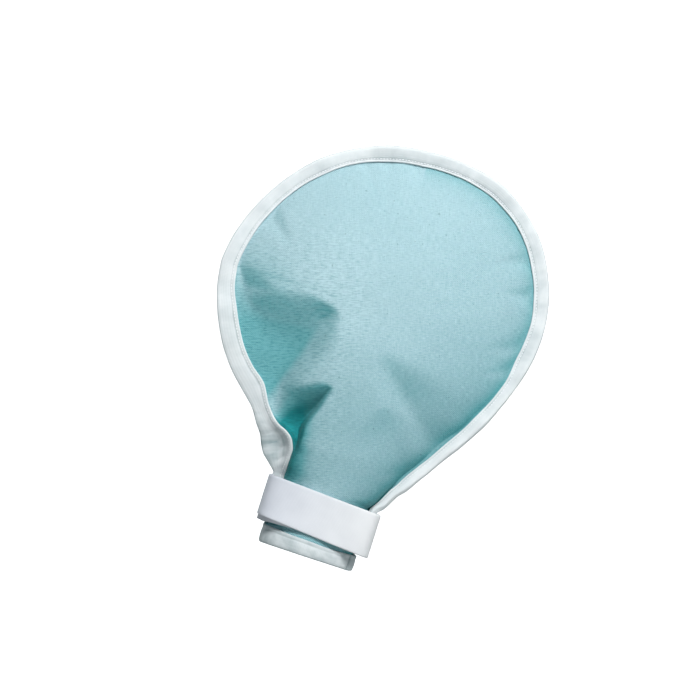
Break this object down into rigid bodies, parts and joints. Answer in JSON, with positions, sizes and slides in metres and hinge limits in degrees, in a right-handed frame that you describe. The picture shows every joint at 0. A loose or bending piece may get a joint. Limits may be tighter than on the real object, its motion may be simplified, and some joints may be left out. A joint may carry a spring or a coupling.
{
  "type": "hand control mitt",
  "caption": "Soft balloon-shaped mitt of woven cloth with a taped edge seam, a taped cuff and a hook-and-loop strap round its narrow neck; it covers a hand to stop gripping or scratching.",
  "frame": {"origin": "centre of the cuff's lower rim, where a wrist goes in", "axes": "+Z from the wrist to the fingertips, +Y from the front panel to the back panel, +X to the right as seen from the front"},
  "size_m": [0.2294, 0.0738, 0.2973],
  "materials": {
    "teal_cloth": "plain woven cloth with slightly uneven threads",
    "white_tape": "smooth woven cotton tape",
    "white_strap": "smooth close-woven strap"
  },
  "bodies": {
    "root": {"front_panel": "teal_cloth", "back_panel": "teal_cloth", "edge_binding": "white_tape", "cuff_binding": "white_tape", "wrist_strap": "white_strap"}
  },
  "joints": []
}
